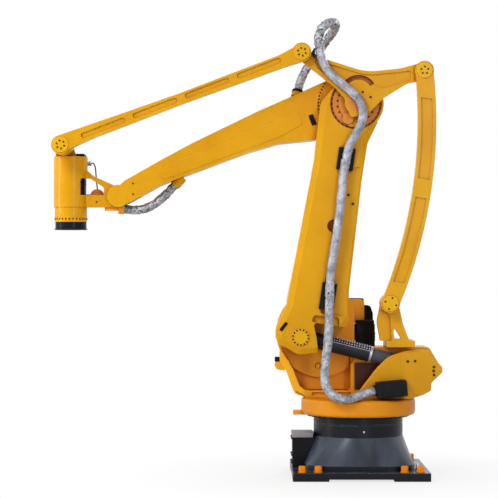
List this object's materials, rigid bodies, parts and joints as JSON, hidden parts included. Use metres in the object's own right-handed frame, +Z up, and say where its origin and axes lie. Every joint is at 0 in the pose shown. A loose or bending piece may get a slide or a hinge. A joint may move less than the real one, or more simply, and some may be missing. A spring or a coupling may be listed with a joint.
{
  "type": "four-axis palletising robot arm",
  "caption": "Floor-mounted palletising robot arm with a turning base, parallel link rods that keep the wrist level, a gas balancer and a turning tool flange.",
  "frame": {"origin": "on the waist axis, at the underside of the base plate", "axes": "+X forward along the arm, +Z up, +Y to the side that carries the link rods"},
  "size_m": [2.0827, 0.8, 2.4436],
  "materials": {
    "black_casting": "gloss paint",
    "robot_paint": "gloss yellow-orange paint",
    "black_motor": "satin black paint",
    "black_rubber": "matt",
    "balancer_steel": "satin dark",
    "hose_jacket": "woven silver-grey jacket"
  },
  "bodies": {
    "base": {"base_plate": "black_casting", "base_casting": "black_casting", "connector_box": "black_casting", "anchor_caps": "robot_paint"},
    "turret": {"turret_ring": "robot_paint", "turret_frame": "robot_paint", "near_cheek": "robot_paint", "balancer_tail_pin": "balancer_steel", "link_bracket": "robot_paint", "shoulder_motor": "black_motor", "motor_connector": "black_motor", "waist_motor": "black_motor", "hose_connector_block": "black_motor", "arm_stop": "robot_paint", "stop_bumper": "black_rubber", "waist_stop": "robot_paint", "hose_low": "hose_jacket"},
    "lower_arm": {"lower_arm": "robot_paint", "balancer_pin_cover": "robot_paint", "elbow_gearbox": "robot_paint", "lower_hose_bracket": "black_motor", "upper_hose_bracket": "black_motor", "hose_arm": "hose_jacket", "hose_elbow": "hose_jacket"},
    "link_plate": {"link_plate": "robot_paint", "plate_hose_bracket": "black_motor", "hose_loop": "hose_jacket"},
    "rear_link": {"rear_link": "robot_paint", "rear_link_covers": "robot_paint"},
    "top_rod": {"top_rod": "robot_paint", "top_rod_covers": "robot_paint"},
    "upper_arm": {"upper_arm": "robot_paint", "elbow_motor": "black_motor", "arm_plug": "black_motor", "hose_clamp": "black_motor", "wrist_hose_gland": "black_motor", "hose_wrist": "hose_jacket"},
    "wrist": {"wrist_casting": "robot_paint", "wrist_gear_can": "robot_paint", "wrist_motor": "black_motor", "wrist_hose_bracket": "robot_paint"},
    "tool": {"tool_flange": "black_motor"},
    "balancer_barrel": {"balancer_barrel": "balancer_steel", "balancer_bellows": "black_rubber"},
    "balancer_rod": {"balancer_rod": "balancer_steel"}
  },
  "joints": [
    {"name": "waist_turn", "type": "hinge", "parent": "base", "child": "turret", "pos_m": [0, 0, 0], "axis": [0, 0, 1], "range_deg": [-180, 180]},
    {"name": "shoulder_swing", "type": "hinge", "parent": "turret", "child": "lower_arm", "pos_m": [0.2, 0, 0.76], "axis": [0, 1, 0], "range_deg": [-20, 62], "deforming": ["hose_low"]},
    {"name": "plate_pivot", "type": "hinge", "parent": "lower_arm", "child": "link_plate", "pos_m": [0.021, 0, 1.98701], "axis": [0, 1, 0], "range_deg": [-63, 21], "deforming": ["hose_elbow"]},
    {"name": "rear_link_pivot", "type": "hinge", "parent": "turret", "child": "rear_link", "pos_m": [-0.156, 0, 0.927], "axis": [0, 1, 0], "range_deg": [-21, 63]},
    {"name": "elbow_swing", "type": "hinge", "parent": "link_plate", "child": "upper_arm", "pos_m": [0.021, 0, 1.98701], "axis": [0, 1, 0], "range_deg": [-34, 25], "deforming": ["hose_loop"]},
    {"name": "top_rod_pivot", "type": "hinge", "parent": "link_plate", "child": "top_rod", "pos_m": [0.311, 0, 2.25001], "axis": [0, 1, 0], "range_deg": [-35, 26]},
    {"name": "wrist_pivot", "type": "hinge", "parent": "upper_arm", "child": "wrist", "pos_m": [1.29067, 0, 1.49963], "axis": [0, 1, 0], "range_deg": [-26, 35], "deforming": ["hose_wrist"]},
    {"name": "tool_turn", "type": "hinge", "parent": "wrist", "child": "tool", "pos_m": [1.55067, 0, 1.36063], "axis": [0, 0, 1], "range_deg": [-350, 350]},
    {"name": "balancer_front_pivot", "type": "hinge", "parent": "lower_arm", "child": "balancer_barrel", "pos_m": [0.315, 0.089, 0.745], "axis": [0, 1, 0], "range_deg": [-56.06, 18.76]},
    {"name": "balancer_tail_pivot", "type": "hinge", "parent": "turret", "child": "balancer_rod", "pos_m": [-0.404, 0.089, 0.566], "axis": [0, 1, 0], "range_deg": [-3.24, 7.94]}
  ],
  "couplings": [
    {"joint": "plate_pivot", "follows": "shoulder_swing", "ratio": -1},
    {"joint": "rear_link_pivot", "follows": "shoulder_swing", "ratio": 1},
    {"joint": "top_rod_pivot", "follows": "elbow_swing", "ratio": 1},
    {"joint": "wrist_pivot", "follows": "elbow_swing", "ratio": -1},
    {"joint": "balancer_front_pivot", "follows": "shoulder_swing", "ratio": -0.888},
    {"joint": "balancer_tail_pivot", "follows": "shoulder_swing", "ratio": 0.112}
  ]
}
